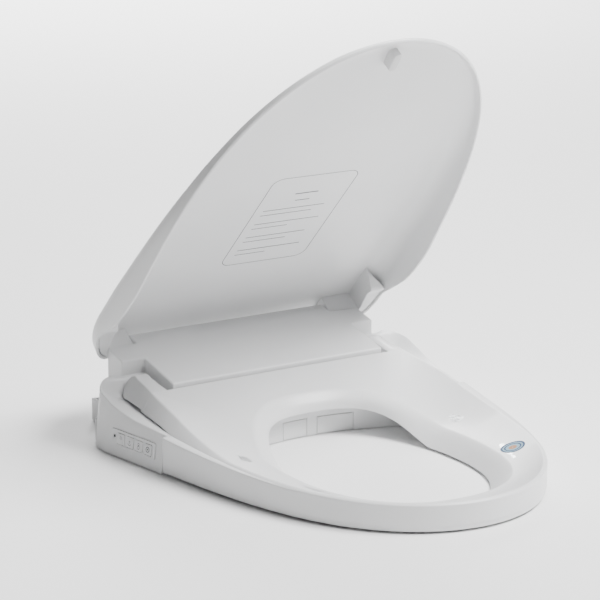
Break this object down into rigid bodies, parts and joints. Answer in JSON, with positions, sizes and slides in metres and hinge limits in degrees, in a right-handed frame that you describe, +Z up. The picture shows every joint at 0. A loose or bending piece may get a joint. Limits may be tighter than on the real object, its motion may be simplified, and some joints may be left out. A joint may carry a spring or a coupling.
{
  "type": "electric bidet seat",
  "caption": "Electric bidet toilet seat: a main unit with side control buttons, spray nozzle and warm-air outlet, a heated ring seat on rear arms, and a deep hinged lid.",
  "frame": {"origin": "centre of the mounting plate's underside, on the bowl's bolt line", "axes": "+Z up, -Y to the front of the seat, +X to the side away from the control buttons"},
  "size_m": [0.38, 0.4866, 0.4226],
  "materials": {
    "white_gloss": "glossy white moulded plastic",
    "white_satin": "satin white moulded plastic",
    "grey_plastic": "matte light grey plastic",
    "dark_plastic": "matte dark plastic",
    "soft_pad": "soft pale rubber",
    "circuit": "green circuit board",
    "steel": "brushed stainless steel",
    "brass": "plated brass",
    "hose": "translucent grey hose",
    "foil": "thin aluminium foil",
    "carbon": "porous carbon block",
    "lens": "dark smoked lens"
  },
  "bodies": {
    "unit": {"base_shell": "white_satin", "base_plate": "grey_plastic", "mounting_plate": "steel", "top_cover": "white_gloss", "rear_cover": "white_satin", "control_bezel": "white_satin", "indicator_lens": "lens", "button_board": "circuit", "main_board": "circuit", "water_inlet": "brass", "inlet_filter": "grey_plastic", "inlet_valve": "grey_plastic", "supply_hose": "hose", "water_heater": "steel", "heater_hose": "hose", "water_pump": "dark_plastic", "nozzle_cradle": "grey_plastic", "nozzle_motor": "steel", "fan_housing": "grey_plastic", "dryer_duct": "grey_plastic", "deodoriser_filter": "carbon", "power_gland": "dark_plastic", "seat_damper_left": "steel", "seat_damper_right": "steel", "lid_damper_left": "steel", "lid_damper_right": "steel"},
    "seat": {"seat_top_shell": "white_gloss", "seat_base_plate": "white_satin", "seat_heating_foil": "foil", "seat_bumper_front_left": "soft_pad", "seat_bumper_front_right": "soft_pad", "seat_bumper_rear_left": "soft_pad", "seat_bumper_rear_right": "soft_pad"},
    "lid": {"lid_shell": "white_gloss", "lid_bumper_front": "soft_pad"},
    "nozzle": {"spray_nozzle": "white_gloss"},
    "pinion": {"nozzle_pinion": "grey_plastic"},
    "door": {"nozzle_door": "white_satin"},
    "flap": {"dryer_flap": "white_satin"},
    "fan": {"fan_impeller": "dark_plastic"},
    "key_1": {"button_1": "white_satin"},
    "key_2": {"button_2": "white_satin"},
    "key_3": {"button_3": "white_satin"},
    "key_4": {"button_4": "white_satin"}
  },
  "joints": [
    {"name": "lid_hinge", "type": "hinge", "parent": "unit", "child": "lid", "pos_m": [0, 0.013, 0.079], "axis": [-1, 0, 0], "range_deg": [-53.2, 52]},
    {"name": "seat_hinge", "type": "hinge", "parent": "unit", "child": "seat", "pos_m": [0, -0.045, 0.0555], "axis": [-1, 0, 0], "range_deg": [0, 55]},
    {"name": "nozzle_slide", "type": "slide", "parent": "unit", "child": "nozzle", "axis": [0, -0.9397, -0.342], "range_m": [0, 0.055]},
    {"name": "pinion_spin", "type": "hinge", "parent": "unit", "child": "pinion", "pos_m": [0.003, -0.05117, 0.03462], "axis": [0, -0.342, 0.9397], "range_deg": [-750, 750]},
    {"name": "door_hinge", "type": "hinge", "parent": "unit", "child": "door", "pos_m": [-0.00903, -0.12477, 0.0175], "axis": [-0.9993, -0.0378, 0], "range_deg": [0, 90]},
    {"name": "flap_hinge", "type": "hinge", "parent": "unit", "child": "flap", "pos_m": [0.03664, -0.12741, 0.0175], "axis": [-0.9885, 0.1515, 0], "range_deg": [0, 60], "stiffness_Nm_per_rad": 0.002, "springref_deg": -17.19},
    {"name": "fan_spin", "type": "hinge", "parent": "unit", "child": "fan", "pos_m": [0.078, 0, 0.02], "axis": [0, 0, 1], "continuous": true},
    {"name": "button_1_press", "type": "slide", "parent": "unit", "child": "key_1", "axis": [0.9799, 0.1396, -0.1423], "range_m": [0, 0.001], "stiffness_N_per_m": 300, "springref_m": -0.0004},
    {"name": "button_2_press", "type": "slide", "parent": "unit", "child": "key_2", "axis": [0.9799, 0.1396, -0.1423], "range_m": [0, 0.001], "stiffness_N_per_m": 300, "springref_m": -0.0004},
    {"name": "button_3_press", "type": "slide", "parent": "unit", "child": "key_3", "axis": [0.9799, 0.1396, -0.1423], "range_m": [0, 0.001], "stiffness_N_per_m": 300, "springref_m": -0.0004},
    {"name": "button_4_press", "type": "slide", "parent": "unit", "child": "key_4", "axis": [0.9799, 0.1396, -0.1423], "range_m": [0, 0.001], "stiffness_N_per_m": 300, "springref_m": -0.0004}
  ],
  "couplings": [
    {"joint": "door_hinge", "follows": "nozzle_slide", "rad_per_m": 27.925},
    {"joint": "pinion_spin", "follows": "nozzle_slide", "rad_per_m": 222.2}
  ]
}
